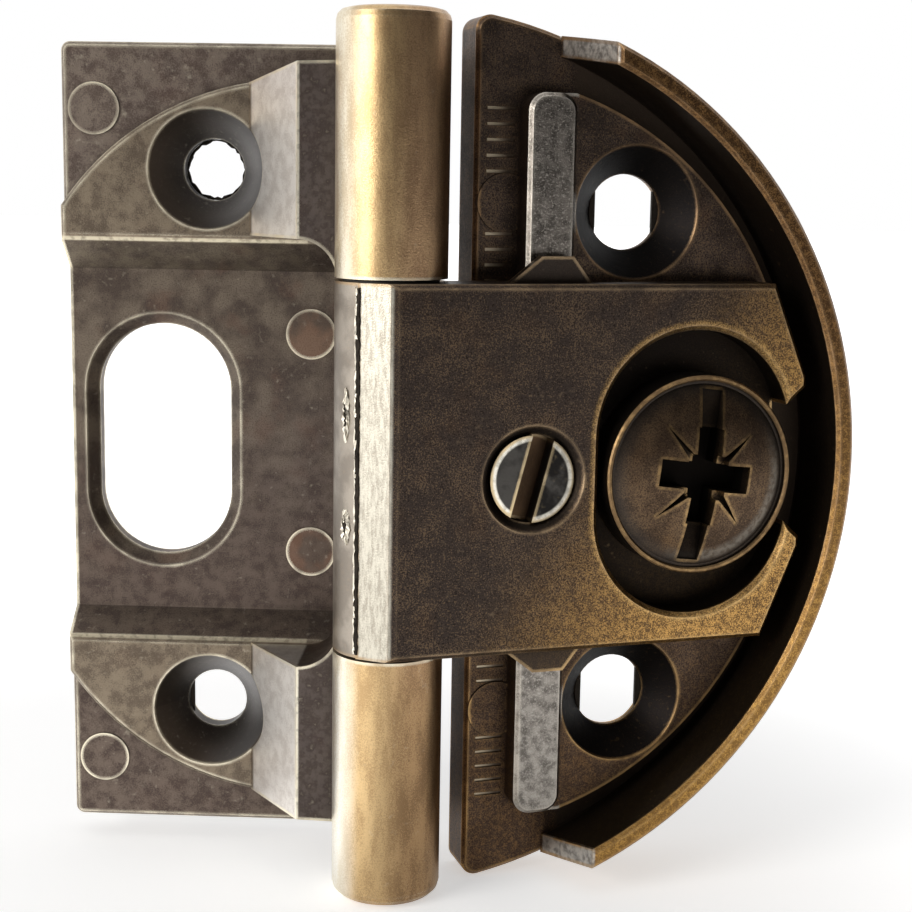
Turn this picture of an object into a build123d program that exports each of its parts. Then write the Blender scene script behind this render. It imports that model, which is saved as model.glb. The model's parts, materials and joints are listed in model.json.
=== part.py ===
"""Surface mounted hinge with height adjustment, for a rebated door or sash.

The frame leaf lies on the frame, in the XZ plane, with its front towards -Y and the pin
along Z. The door side (arm and base plate) is drawn in a plane of its own, through the
pin and swung back a little, as the leaf hangs when nothing holds it.
The origin is the middle of the frame leaf's two screws, on its mounting face.
"""
import os
from math import cos, radians, sin, sqrt

from build123d import *

# Pin and knuckles
pin_from_screws = 13.0      # pin axis to the frame leaf's screw line
pin_height = 10.5           # pin axis above the frame leaf's mounting face
pin_radius = 2.0
barrel_radius = 3.62
barrel_length = 57.6        # over the outer knuckles
arm_height = 24.0           # middle knuckle and arm, along the pin
knuckle_gap = 0.2           # between neighbouring knuckles
barrel_end_round = 0.7      # knuckle's outer end, rounded in three flats
round_turn = 30.0           # from one flat to the next, degrees
pin_cap = 2.0               # closed upper end of the barrel above the pin
pin_sunk = 0.3              # pin's foot inside the lower end
pin_fit = 0.02              # pin in the outer knuckles, radial
edge_bevel = 0.25           # cast edges, worn soft
leaf_swing = 20.0           # how far the door side hangs back from flat, degrees

# Frame leaf
plate_left = 10.0           # screw line to the free edge
plate_right = 13.6          # screw line to the edge behind the barrel
plate_height = 54.4
plate_corner = 0.6
floor_thickness = 1.9
end_thickness = 3.3
pad_thickness = 4.2
pad_inner = 12.0            # foot of the pad's sloping wall, from mid-height
upper_wall_run = 2.2        # how far that wall leans over its full rise
lower_wall_run = 1.75
pad_edge = 16.3             # where the pad's curved edge leaves the free edge
pad_edge_mid = 21.9         # height of that curve half-way along
pad_edge_mid_x = -4.2
pad_outer = 24.6            # where the curve meets the ramp
ramp_foot = 2.9             # screw line to the ramp's foot
ramp_crest = 6.85           # screw line to the ramp's crest
crest_height = 9.8          # crest and the neck's flat face, above the mounting face
upper_neck_inner = 14.5     # necks sit a little high on the leaf
upper_neck_outer = 25.65
lower_neck_inner = 13.85
lower_neck_outer = 24.55
neck_flare = 0.2            # neck's outer edge rises towards the barrel
frame_screw_spacing = 37.7
frame_hole_radius = 2.1
frame_sink_radius = 4.0
frame_sink_angle = 66.0     # cast deep, so little land is left behind
window_width = 9.3
window_height = 16.4
window_offset = -3.6
window_chamfer = 0.8
disc_radius = 1.75          # ejector marks, standing proud
disc_height = 0.1
disc_end_x = -7.8
disc_end_z = 22.8
disc_floor_x = 6.8
disc_floor_z = 7.7

# Door side: distances from the pin axis, heights in front of it
arm_front = 4.2
arm_rest_gap = 0.2          # arm over the base plate's floor
flat_start = -0.9           # where the arm's flat face begins
seam_x = -2.85              # parting line along the middle knuckle
seam_height = 2.55
arm_shoulder_gap = 0.79     # arm's corner to the rim, at the end of its travel
arm_end_gap = 2.0           # arm's end to the rim, at mid-height
prong_edge = 5.8
prong_step = 5.1
prong_tip = 3.9
prong_hook = 1.35           # prong's tip back from the arm's end
front_bevel = 0.3           # arm's front edge and the recess's lip
lug_from = 7.0
lug_to = 12.6
lug_tip_from = 9.15
lug_tip_to = 11.3
lug_reach = 1.7
lug_front = 2.9
lug_back = 2.2
clamp_x = 19.93
screw_drop = 0.5            # both screws sit a little below mid-height
recess_radius = 6.9
recess_x = 19.85
recess_floor = 1.9
recess_margin = 0.6         # recess beyond the travel, each way
height_travel = 2.0         # height adjustment, each way

base_left = 5.5
base_corner = 1.0
base_floor = -0.15
base_back = -3.2
rim_radius = 29.2
rim_centre = 1.9
rim_thickness = 1.25
rim_front = 5.2
rim_start = 13.1
facet_start = 11.23
door_pad_turn = 47.74       # half-way along the screw pad's curved edge, degrees
door_pad_inset = 1.34       # that point to the rim
door_pad_end_gap = 1.29     # where the curve runs under the arm, to the rim
door_pad_front = 1.4
door_pad_inner = 11.0
door_pad_gap = 0.2          # arm over the screw pads
rail_left = 8.5
rail_width = 3.3
rail_front = 1.8
rail_rim_gap = 2.14         # rail's end to the rim
rail_inner = 9.5
rail_round = 1.2
rail_clearance = 0.2
door_screw_x = 16.25
door_screw_spacing = 33.0
door_hole_radius = 2.5
door_sink_radius = 4.35
door_sink_angle = 80.0
door_relief_radius = 3.6    # hollow behind each screw hole
door_relief_depth = 2.0
mark_pitch = 1.0
mark_count = 12
mark_first = 12.0
mark_length = 1.9
mark_width = 0.2
mark_depth = 0.12
mark_left = 6.3
base_disc_radius = 1.9
base_disc_x = 7.6
base_disc_z = 17.0

# Screws
clamp_head_radius = 6.6
clamp_head_front = 4.8      # the thin ring round the head
clamp_ring = 0.35           # that ring's width
clamp_ring_bevel = 0.1      # its two edges
clamp_dome_radius = 6.05    # domed face inside the ring
clamp_dome_foot = 4.5
clamp_dome_front = 5.8
clamp_shank_radius = 3.0
clamp_slot_clearance = 0.35
clamp_slot_width = 1.5
clamp_slot_length = 11.4
clamp_slot_floor = 4.45     # flat, so the slot runs out towards the ring
clamp_wing_width = 1.8
clamp_wing_span = 6.4
clamp_wing_floor = 3.4
clamp_corner = 2.9          # broken corners between the wings
clamp_corner_floor = 5.05
clamp_tick_reach = 4.2
clamp_tick_width = 0.8      # at its root; it tapers to a point
clamp_tick_floor = 5.0
clamp_tick_count = 4
clamp_tick_turn = 45.0      # ticks stand between the wings
clamp_turn = 7.0            # how the slot stands, degrees from upright
screw_seat_gap = 0.05       # under the clamp head and the adjusting screw
screw_short = 0.2           # screw ends short of the mounting face
adjust_x = 8.45
adjust_radius = 2.85
adjust_mouth_radius = 3.5
adjust_mouth_angle = 90.0
adjust_sunk = 0.3
adjust_slot_width = 1.5
adjust_slot_depth = 1.2
adjust_turn = -15.0
thread_fit = 0.04

# Bushes
bush_wall = 0.7
bush_length = 7.0
bush_flange_radius = 3.1
bush_flange = 0.6
bush_fit = 0.01
pin_running_fit = 0.03

# Planes and sizes that follow
upright = 90.0              # slots run along the pin
swing = radians(leaf_swing)
pin_point = (pin_from_screws, -pin_height, 0)
door_x = (cos(swing), sin(swing), 0)
door = Plane(origin=pin_point, x_dir=door_x, z_dir=(sin(swing), -cos(swing), 0))
door_section = Plane(origin=pin_point, x_dir=door_x, z_dir=(0, 0, -1))
pin_foot = Plane.XY.move(Location(pin_point))
pin_line = Axis(pin_point, (0, 0, 1))
barrel_half = barrel_length / 2
round_near = barrel_end_round * (1 - cos(radians(round_turn)))
round_far = barrel_end_round * (1 - sin(radians(round_turn)))
arm_half = arm_height / 2
knuckle_start = arm_half + knuckle_gap
arm_back = base_floor + arm_rest_gap
plate_mid_x = (plate_right - plate_left) / 2
plate_width = plate_left + plate_right
base_half = sqrt(rim_radius**2 - (base_left - rim_centre) ** 2)
rim_inner = rim_radius - rim_thickness
rail_end = sqrt(rim_inner**2 - (rail_left + rail_width - rim_centre) ** 2) - rail_rim_gap
arm_end = rim_centre + rim_inner - arm_end_gap
prong_tip_x = arm_end - prong_hook
arm_shoulder = rim_centre + sqrt(rim_inner**2 - (arm_half + height_travel) ** 2) - arm_shoulder_gap
door_pad_end_x = rim_centre + sqrt(rim_inner**2 - door_pad_inner**2) - door_pad_end_gap
door_pad_reach = rim_inner - door_pad_inset
door_pad_mid_x = rim_centre + door_pad_reach * cos(radians(door_pad_turn))
door_pad_mid = door_pad_reach * sin(radians(door_pad_turn))
forward = Axis(pin_point, door.z_dir)
bush_radius = pin_radius + pin_running_fit + bush_wall
flange_top = arm_half + knuckle_gap / 2
rail_mid_x = rail_left + rail_width / 2
rail_mid = (rail_end + rail_inner) / 2
span = plate_width + barrel_length
dome_rise = clamp_dome_front - clamp_dome_foot
dome_radius = (clamp_dome_radius**2 + dome_rise**2) / (2 * dome_rise)

os.makedirs("parts", exist_ok=True)

# Necks of the frame leaf: each drawn above mid-height, its outline cut to the ramp's section
necks = []
for neck_inner, neck_outer in (
    (upper_neck_inner, upper_neck_outer),
    (lower_neck_inner, lower_neck_outer),
):
    with BuildPart() as neck:
        with BuildSketch(Plane.XZ):
            with BuildLine():
                Polyline(
                    (pin_from_screws - barrel_radius, knuckle_start),
                    (plate_right, knuckle_start),
                    (plate_right, neck_outer + neck_flare),
                    (ramp_crest, neck_outer),
                    (ramp_foot, pad_outer),
                    (ramp_foot, neck_inner),
                    (ramp_crest, neck_inner),
                )
                TangentArc(
                    (ramp_crest, neck_inner),
                    (pin_from_screws - barrel_radius, knuckle_start),
                    tangent=(1, 0),
                )
            make_face()
        extrude(amount=pin_height + barrel_radius)
        with BuildSketch(Plane.XY):
            with BuildLine():
                Polyline(
                    (ramp_foot, 0),
                    (ramp_foot, -pad_thickness),
                    (ramp_crest, -crest_height),
                    (plate_right, -crest_height),
                    (plate_right, 0),
                    close=True,
                )
            make_face()
        extrude(amount=barrel_half, mode=Mode.INTERSECT)
    necks.append(neck.part)

# Frame leaf: plate, screw pads, necks and the two outer knuckles, one casting
with BuildPart() as frame_leaf:
    with BuildSketch(Plane.XZ):
        with Locations((plate_mid_x, 0)):
            RectangleRounded(plate_width, plate_height, plate_corner)
    extrude(amount=end_thickness)
    chamfer(frame_leaf.faces().sort_by(Axis.Y)[0].edges(), edge_bevel)
    with BuildSketch(Plane.XZ):
        with BuildLine():
            ThreePointArc(
                (-plate_left, pad_edge),
                (pad_edge_mid_x, pad_edge_mid),
                (ramp_foot, pad_outer),
            )
            Polyline(
                (ramp_foot, pad_outer),
                (plate_right, pad_outer),
                (plate_right, 0),
                (-plate_left, 0),
                (-plate_left, pad_edge),
            )
        make_face()
        mirror(about=Plane.XZ)
    extrude(amount=pad_thickness)
    with BuildSketch(Plane.YZ):
        with BuildLine():
            Polyline(
                (-floor_thickness, -pad_inner),
                (-pad_thickness, -pad_inner - lower_wall_run),
                (-pin_height, -pad_inner - lower_wall_run),
                (-pin_height, pad_inner + upper_wall_run),
                (-pad_thickness, pad_inner + upper_wall_run),
                (-floor_thickness, pad_inner),
                close=True,
            )
        make_face()
    extrude(amount=span, both=True, mode=Mode.SUBTRACT)
    pad_faces = frame_leaf.faces().filter_by(Plane.XZ).group_by(Axis.Y)[0]
    chamfer(pad_faces.edges(), edge_bevel)
    with BuildSketch(Plane.XZ.offset(pin_height)):
        with BuildLine():
            Polyline(
                (pin_from_screws, knuckle_start),
                (pin_from_screws + barrel_radius, knuckle_start),
                (pin_from_screws + barrel_radius, barrel_half - barrel_end_round),
                (pin_from_screws + barrel_radius - round_near, barrel_half - round_far),
                (pin_from_screws + barrel_radius - round_far, barrel_half - round_near),
                (pin_from_screws + barrel_radius - barrel_end_round, barrel_half),
                (pin_from_screws, barrel_half),
                close=True,
            )
        make_face()
        mirror(about=Plane.XZ)
    revolve(axis=pin_line)
    add(necks[0])
    mirror(necks[1], about=Plane.XY)
    with BuildSketch(pin_foot.offset(-barrel_half)):
        Circle(pin_radius + pin_fit)
    extrude(amount=barrel_length - pin_cap, mode=Mode.SUBTRACT)
    seat = Plane.XZ.offset(pad_thickness).location
    with Locations(seat * Pos(0, frame_screw_spacing / 2), seat * Pos(0, -frame_screw_spacing / 2)):
        CounterSinkHole(frame_hole_radius, frame_sink_radius, counter_sink_angle=frame_sink_angle)
    with BuildSketch(Plane.XZ):
        with Locations((window_offset, 0)):
            SlotOverall(window_height, window_width, rotation=upright)
    extrude(amount=floor_thickness, mode=Mode.SUBTRACT)
    with BuildSketch(Plane.XZ.offset(floor_thickness - window_chamfer)):
        with Locations((window_offset, 0)):
            SlotOverall(window_height, window_width, rotation=upright)
    with BuildSketch(Plane.XZ.offset(floor_thickness)):
        with Locations((window_offset, 0)):
            SlotOverall(
                window_height + 2 * window_chamfer,
                window_width + 2 * window_chamfer,
                rotation=upright,
            )
    loft(mode=Mode.SUBTRACT)
    with BuildSketch(Plane.XZ.offset(end_thickness)):
        with Locations((disc_end_x, disc_end_z), (disc_end_x, -disc_end_z)):
            Circle(disc_radius)
    extrude(amount=disc_height)
    with BuildSketch(Plane.XZ.offset(floor_thickness)):
        with Locations((disc_floor_x, disc_floor_z), (disc_floor_x, -disc_floor_z)):
            Circle(disc_radius)
    extrude(amount=disc_height)
frame_leaf.part.label = "frame_leaf"
export_step(frame_leaf.part, "parts/frame_leaf.step")

# Hinge pin: plain steel pin, driven up through the knuckles from below
with BuildPart() as hinge_pin:
    with BuildSketch(pin_foot.offset(-barrel_half + pin_sunk)):
        Circle(pin_radius)
    extrude(amount=barrel_length - pin_cap - 2 * pin_sunk)
    chamfer(hinge_pin.edges().filter_by(GeomType.CIRCLE), pin_sunk)
hinge_pin.part.label = "hinge_pin"
export_step(hinge_pin.part, "parts/hinge_pin.step")

# Door arm: middle knuckle, flat arm with two prongs, and the clamp screw's recess
with BuildPart() as door_arm:
    with BuildSketch(door.offset(arm_back)):
        with BuildLine():
            Polyline(
                (0, 0),
                (0, arm_half),
                (arm_shoulder, arm_half),
                (arm_end, prong_edge),
                (arm_end, prong_step),
                (prong_tip_x, prong_tip),
                (prong_tip_x, 0),
                close=True,
            )
        make_face()
        mirror(about=Plane.XZ)
    extrude(amount=arm_front - arm_back)
    with BuildSketch(door_section):
        Circle(barrel_radius)
        with BuildLine():
            Polyline(
                (0, 0),
                (seam_x, seam_height),
                (flat_start, arm_front),
                (barrel_radius, arm_front),
                (barrel_radius, 0),
                close=True,
            )
        make_face()
    extrude(amount=arm_half, both=True)
    with BuildSketch(door.offset(arm_back)):
        with Locations((rail_mid_x, arm_half), (rail_mid_x, -arm_half)):
            Rectangle(
                rail_width + 2 * rail_clearance,
                2 * (arm_half - rail_inner + height_travel + rail_clearance),
            )
    extrude(amount=rail_front + rail_clearance - arm_back, mode=Mode.SUBTRACT)
    with BuildSketch(door.offset(arm_back)):
        with Locations((rail_left + arm_end / 2, arm_half), (rail_left + arm_end / 2, -arm_half)):
            Rectangle(arm_end, 2 * (arm_half - door_pad_inner + height_travel + rail_clearance))
    extrude(amount=door_pad_front + door_pad_gap - arm_back, mode=Mode.SUBTRACT)
    with BuildSketch(door.offset(recess_floor)):
        with Locations((recess_x, -screw_drop)):
            SlotCenterToCenter(2 * (height_travel + recess_margin), 2 * recess_radius, rotation=upright)
    extrude(amount=arm_front, mode=Mode.SUBTRACT)
    arm_face = door_arm.faces().filter_by(door).sort_by(forward)[-1]
    chamfer(arm_face.edges(), front_bevel)
    with BuildSketch(door.offset(arm_back)):
        with Locations((clamp_x, -screw_drop)):
            SlotCenterToCenter(
                2 * height_travel,
                2 * (clamp_shank_radius + clamp_slot_clearance),
                rotation=upright,
            )
    extrude(amount=recess_floor - arm_back, mode=Mode.SUBTRACT)
    with BuildSketch(door.offset(lug_back)):
        with BuildLine():
            Polyline(
                (lug_from, arm_half - lug_reach),
                (lug_from, arm_half),
                (lug_tip_from, arm_half + lug_reach),
                (lug_tip_to, arm_half + lug_reach),
                (lug_to, arm_half),
                (lug_to, arm_half - lug_reach),
                close=True,
            )
        make_face()
        mirror(about=Plane.XZ)
    extrude(amount=lug_front - lug_back)
    with Locations(door.offset(arm_front).location * Pos(adjust_x, -screw_drop)):
        CounterSinkHole(
            adjust_radius + thread_fit,
            adjust_mouth_radius,
            counter_sink_angle=adjust_mouth_angle,
        )
    with BuildSketch(door_section):
        Circle(bush_radius + bush_fit)
    extrude(amount=arm_half, both=True, mode=Mode.SUBTRACT)
    with BuildSketch(pin_foot.offset(flange_top - bush_flange)):
        Circle(bush_flange_radius + bush_fit)
    extrude(amount=bush_flange, mode=Mode.SUBTRACT)
    with BuildSketch(pin_foot.offset(bush_flange - flange_top)):
        Circle(bush_flange_radius + bush_fit)
    extrude(amount=-bush_flange, mode=Mode.SUBTRACT)
door_arm.part.label = "door_arm"
export_step(door_arm.part, "parts/door_arm.step")

# Upper and lower bush: flanged nylon sleeves in the middle knuckle
for name, side in (("upper_bush", 1), ("lower_bush", -1)):
    with BuildPart() as bush:
        with BuildSketch(pin_foot.offset(side * flange_top)):
            Circle(bush_flange_radius)
        extrude(amount=-side * bush_flange)
        with BuildSketch(pin_foot.offset(side * flange_top)):
            Circle(bush_radius)
        extrude(amount=-side * bush_length)
        with BuildSketch(pin_foot.offset(side * flange_top)):
            Circle(pin_radius + pin_running_fit)
        extrude(amount=-side * bush_length, mode=Mode.SUBTRACT)
    bush.part.label = name
    export_step(bush.part, f"parts/{name}.step")

# Base plate: D-shaped plate with rim, rails, screw pads and the height scale
with BuildPart() as base_plate:
    with BuildSketch(door.offset(base_back)) as base_outline:
        with BuildLine():
            Line((base_left, -base_half), (base_left, base_half))
            ThreePointArc(
                (base_left, base_half),
                (rim_centre + rim_radius, 0),
                (base_left, -base_half),
            )
        make_face()
        fillet(base_outline.vertices(), base_corner)
    extrude(amount=base_floor - base_back)
    long_edges = base_plate.edges().filter_by(Axis.Z).group_by(forward)[-1]
    chamfer(long_edges, edge_bevel)
    with BuildSketch(door.offset(base_floor)):
        add(base_outline.sketch_local)
        with Locations((rim_centre, 0)):
            Circle(rim_inner, mode=Mode.SUBTRACT)
        with Locations((facet_start, 0)):
            Rectangle(rim_radius, 2 * rim_radius, align=(Align.MAX, Align.CENTER), mode=Mode.SUBTRACT)
    extrude(amount=rim_front - base_floor)
    with BuildSketch(door_section):
        with BuildLine():
            Polyline(
                (facet_start, base_floor),
                (rim_start, rim_front),
                (facet_start, rim_front),
                close=True,
            )
        make_face()
    extrude(amount=rim_radius, both=True, mode=Mode.SUBTRACT)
    rim_face = base_plate.faces().filter_by(door).sort_by(forward)[-1]
    chamfer(rim_face.edges(), edge_bevel)
    with BuildSketch(door.offset(base_floor)):
        with BuildLine():
            ThreePointArc(
                (rail_left + rail_width, rail_end),
                (door_pad_mid_x, door_pad_mid),
                (door_pad_end_x, door_pad_inner),
            )
            Polyline(
                (door_pad_end_x, door_pad_inner),
                (rail_mid_x, door_pad_inner),
                (rail_mid_x, rail_end),
                (rail_left + rail_width, rail_end),
            )
        make_face()
        mirror(about=Plane.XZ)
    extrude(amount=door_pad_front - base_floor)
    with BuildSketch(door.offset(base_floor)):
        with Locations((rail_mid_x, rail_mid), (rail_mid_x, -rail_mid)):
            RectangleRounded(rail_width, rail_end - rail_inner, rail_round)
    extrude(amount=rail_front - base_floor)
    rail_faces = base_plate.faces().filter_by(door).group_by(forward)[-2]
    chamfer(rail_faces.edges(), edge_bevel)
    with BuildSketch(door.offset(base_floor)):
        with Locations((mark_left + mark_length / 2, mark_first + (mark_count - 1) * mark_pitch / 2)):
            with GridLocations(mark_pitch, mark_pitch, 1, mark_count):
                Rectangle(mark_length, mark_width)
        mirror(about=Plane.XZ)
    extrude(amount=-mark_depth, mode=Mode.SUBTRACT)
    with BuildSketch(door.offset(base_floor - mark_depth)):
        with Locations((base_disc_x, base_disc_z), (base_disc_x, -base_disc_z)):
            Circle(base_disc_radius)
    extrude(amount=mark_depth + disc_height)
    seat = door.offset(door_pad_front).location
    with Locations(
        seat * Pos(door_screw_x, door_screw_spacing / 2),
        seat * Pos(door_screw_x, -door_screw_spacing / 2),
    ):
        CounterSinkHole(door_hole_radius, door_sink_radius, counter_sink_angle=door_sink_angle)
    with BuildSketch(door.offset(base_back)):
        with Locations((door_screw_x, door_screw_spacing / 2), (door_screw_x, -door_screw_spacing / 2)):
            Circle(door_relief_radius)
    extrude(amount=door_relief_depth, mode=Mode.SUBTRACT)
    with BuildSketch(door.offset(base_back)):
        with Locations((clamp_x, -screw_drop)):
            Circle(clamp_shank_radius + thread_fit)
    extrude(amount=base_floor - base_back, mode=Mode.SUBTRACT)
base_plate.part.label = "base_plate"
export_step(base_plate.part, "parts/base_plate.step")

# Clamp screw: domed head with a thin ring, slot and cross recess
clamp_spot = Location((clamp_x, -screw_drop), -clamp_turn)
clamp_centre = door.from_local_coords((clamp_x, -screw_drop, 0))
clamp_profile = Plane(origin=clamp_centre, x_dir=door_x, z_dir=(0, 0, -1))
ring_inner = clamp_head_radius - clamp_ring
ring_edge = clamp_head_front - clamp_ring_bevel
with BuildPart() as clamp_screw:
    with BuildSketch(clamp_profile):
        with BuildLine():
            RadiusArc(
                (0, clamp_dome_front),
                (clamp_dome_radius, clamp_dome_foot),
                dome_radius,
            )
            Polyline(
                (clamp_dome_radius, clamp_dome_foot),
                (ring_inner, clamp_dome_foot),
                (ring_inner, ring_edge),
                (ring_inner + clamp_ring_bevel, clamp_head_front),
                (clamp_head_radius - clamp_ring_bevel, clamp_head_front),
                (clamp_head_radius, ring_edge),
                (clamp_head_radius, recess_floor + screw_seat_gap),
                (clamp_shank_radius, recess_floor + screw_seat_gap),
                (clamp_shank_radius, base_back + screw_short),
                (0, base_back + screw_short),
                (0, clamp_dome_front),
            )
        make_face()
    revolve(axis=Axis(clamp_centre, door.z_dir))
    with BuildSketch(door.offset(clamp_slot_floor)):
        with Locations(clamp_spot):
            Rectangle(clamp_slot_width, clamp_slot_length)
    extrude(amount=clamp_dome_front - clamp_slot_floor, mode=Mode.SUBTRACT)
    with BuildSketch(door.offset(clamp_wing_floor)):
        with Locations(clamp_spot):
            Rectangle(clamp_wing_span, clamp_wing_width)
            Rectangle(clamp_wing_width, clamp_wing_span)
    extrude(amount=clamp_dome_front - clamp_wing_floor, mode=Mode.SUBTRACT)
    with BuildSketch(door.offset(clamp_corner_floor)):
        with Locations(clamp_spot):
            Rectangle(clamp_corner, clamp_corner)
    extrude(amount=clamp_dome_front - clamp_corner_floor, mode=Mode.SUBTRACT)
    with BuildSketch(door.offset(clamp_tick_floor)):
        with Locations(clamp_spot):
            with PolarLocations(0, clamp_tick_count, start_angle=clamp_tick_turn):
                Polygon(
                    (0, -clamp_tick_width / 2),
                    (clamp_tick_reach, 0),
                    (0, clamp_tick_width / 2),
                    align=None,
                )
    extrude(amount=clamp_dome_front - clamp_tick_floor, mode=Mode.SUBTRACT)
clamp_screw.part.label = "clamp_screw"
export_step(clamp_screw.part, "parts/clamp_screw.step")

# Adjusting screw: headless slotted screw through the arm, bearing on the base plate
with BuildPart() as adjusting_screw:
    with BuildSketch(door.offset(base_floor + screw_seat_gap)):
        with Locations((adjust_x, -screw_drop)):
            Circle(adjust_radius)
    extrude(amount=arm_front - adjust_sunk - base_floor - screw_seat_gap)
    with BuildSketch(door.offset(arm_front - adjust_sunk)):
        with Locations(Location((adjust_x, -screw_drop), adjust_turn)):
            Rectangle(adjust_slot_width, 2 * adjust_radius)
    extrude(amount=-adjust_slot_depth, mode=Mode.SUBTRACT)
adjusting_screw.part.label = "adjusting_screw"
export_step(adjusting_screw.part, "parts/adjusting_screw.step")
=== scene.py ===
"""A surface mounted hinge in aged brass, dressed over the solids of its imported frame."""
import json
import math

import bpy
from mathutils import Matrix, Vector


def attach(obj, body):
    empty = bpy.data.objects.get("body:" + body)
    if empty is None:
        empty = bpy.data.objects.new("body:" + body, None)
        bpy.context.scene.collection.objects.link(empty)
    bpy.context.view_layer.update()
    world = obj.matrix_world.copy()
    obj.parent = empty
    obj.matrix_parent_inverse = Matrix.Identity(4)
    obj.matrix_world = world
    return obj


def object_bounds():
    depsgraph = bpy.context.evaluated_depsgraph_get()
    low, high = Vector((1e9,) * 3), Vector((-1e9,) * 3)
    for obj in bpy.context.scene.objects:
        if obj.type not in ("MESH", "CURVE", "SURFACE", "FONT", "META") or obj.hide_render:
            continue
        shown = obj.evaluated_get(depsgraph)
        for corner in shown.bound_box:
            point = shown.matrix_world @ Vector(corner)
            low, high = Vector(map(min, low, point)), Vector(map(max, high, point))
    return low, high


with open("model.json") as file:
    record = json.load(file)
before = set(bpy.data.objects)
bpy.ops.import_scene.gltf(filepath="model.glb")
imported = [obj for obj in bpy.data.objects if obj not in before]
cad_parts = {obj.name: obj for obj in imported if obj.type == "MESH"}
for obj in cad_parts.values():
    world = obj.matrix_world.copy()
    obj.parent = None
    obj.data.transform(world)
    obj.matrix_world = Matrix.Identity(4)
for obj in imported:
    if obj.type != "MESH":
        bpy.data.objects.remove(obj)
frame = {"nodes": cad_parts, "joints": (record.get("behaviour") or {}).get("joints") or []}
solids_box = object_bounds()
bpy.ops.object.select_all(action="DESELECT")

# Frame leaf: one zinc die casting with two screw pads, two necks and the outer knuckles.
# It is plated and blackened, then rubbed back, so high edges are bare and hollows stay dark.
# Two screws through its countersunk pads hold it to the frame.


class Shade:
    """A value in a material: arithmetic on it adds Math nodes, and node() adds any other."""

    def __init__(self, tree, socket=None):
        self.tree = tree
        self.socket = socket

    def node(self, kind, settings, values, out=0):
        made = self.tree.nodes.new("ShaderNode" + kind)
        for key, value in settings.items():
            setattr(made, key, value)
        for key, value in values.items():
            if isinstance(value, Shade):
                self.tree.links.new(value.socket, made.inputs[key])
            else:
                made.inputs[key].default_value = value
        return Shade(self.tree, made.outputs[out])

    def math(self, operation, first, second=0.0):
        return self.node("Math", {"operation": operation}, {0: first, 1: second})

    def __add__(self, other):
        return self.math("ADD", self, other)

    def __sub__(self, other):
        return self.math("SUBTRACT", self, other)

    def __rsub__(self, other):
        return self.math("SUBTRACT", other, self)

    def __mul__(self, other):
        return self.math("MULTIPLY", self, other)

    __radd__ = __add__
    __rmul__ = __mul__

    def rise(self, low, high):
        """0 below low, 1 above high, smooth between; falls instead where low is above high."""
        start, end = (0.0, 1.0) if low < high else (1.0, 0.0)
        span = {"From Min": min(low, high), "From Max": max(low, high), "To Min": start, "To Max": end}
        return self.node("MapRange", {"interpolation_type": "SMOOTHSTEP"}, {"Value": self, **span})

    def within(self, low, high, soft):
        """1 between low and high, and smoothly 0 beyond."""
        return self.rise(low - soft, low + soft) * self.rise(high + soft, high - soft)

    def tint(self, below, above):
        """Colour above where this value is 1, colour below where it is 0."""
        pair = [c if isinstance(c, Shade) else (*c, 1.0) for c in (below, above)]
        return self.node("Mix", {"data_type": "RGBA"}, {0: self, 6: pair[0], 7: pair[1]}, 2)

    def reach(self, across, along):
        """Distance from a line, from the two offsets to it."""
        offsets = self.node("CombineXYZ", {}, {"X": across, "Y": along})
        return self.node("VectorMath", {"operation": "LENGTH"}, {0: offsets}, "Value")


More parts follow.
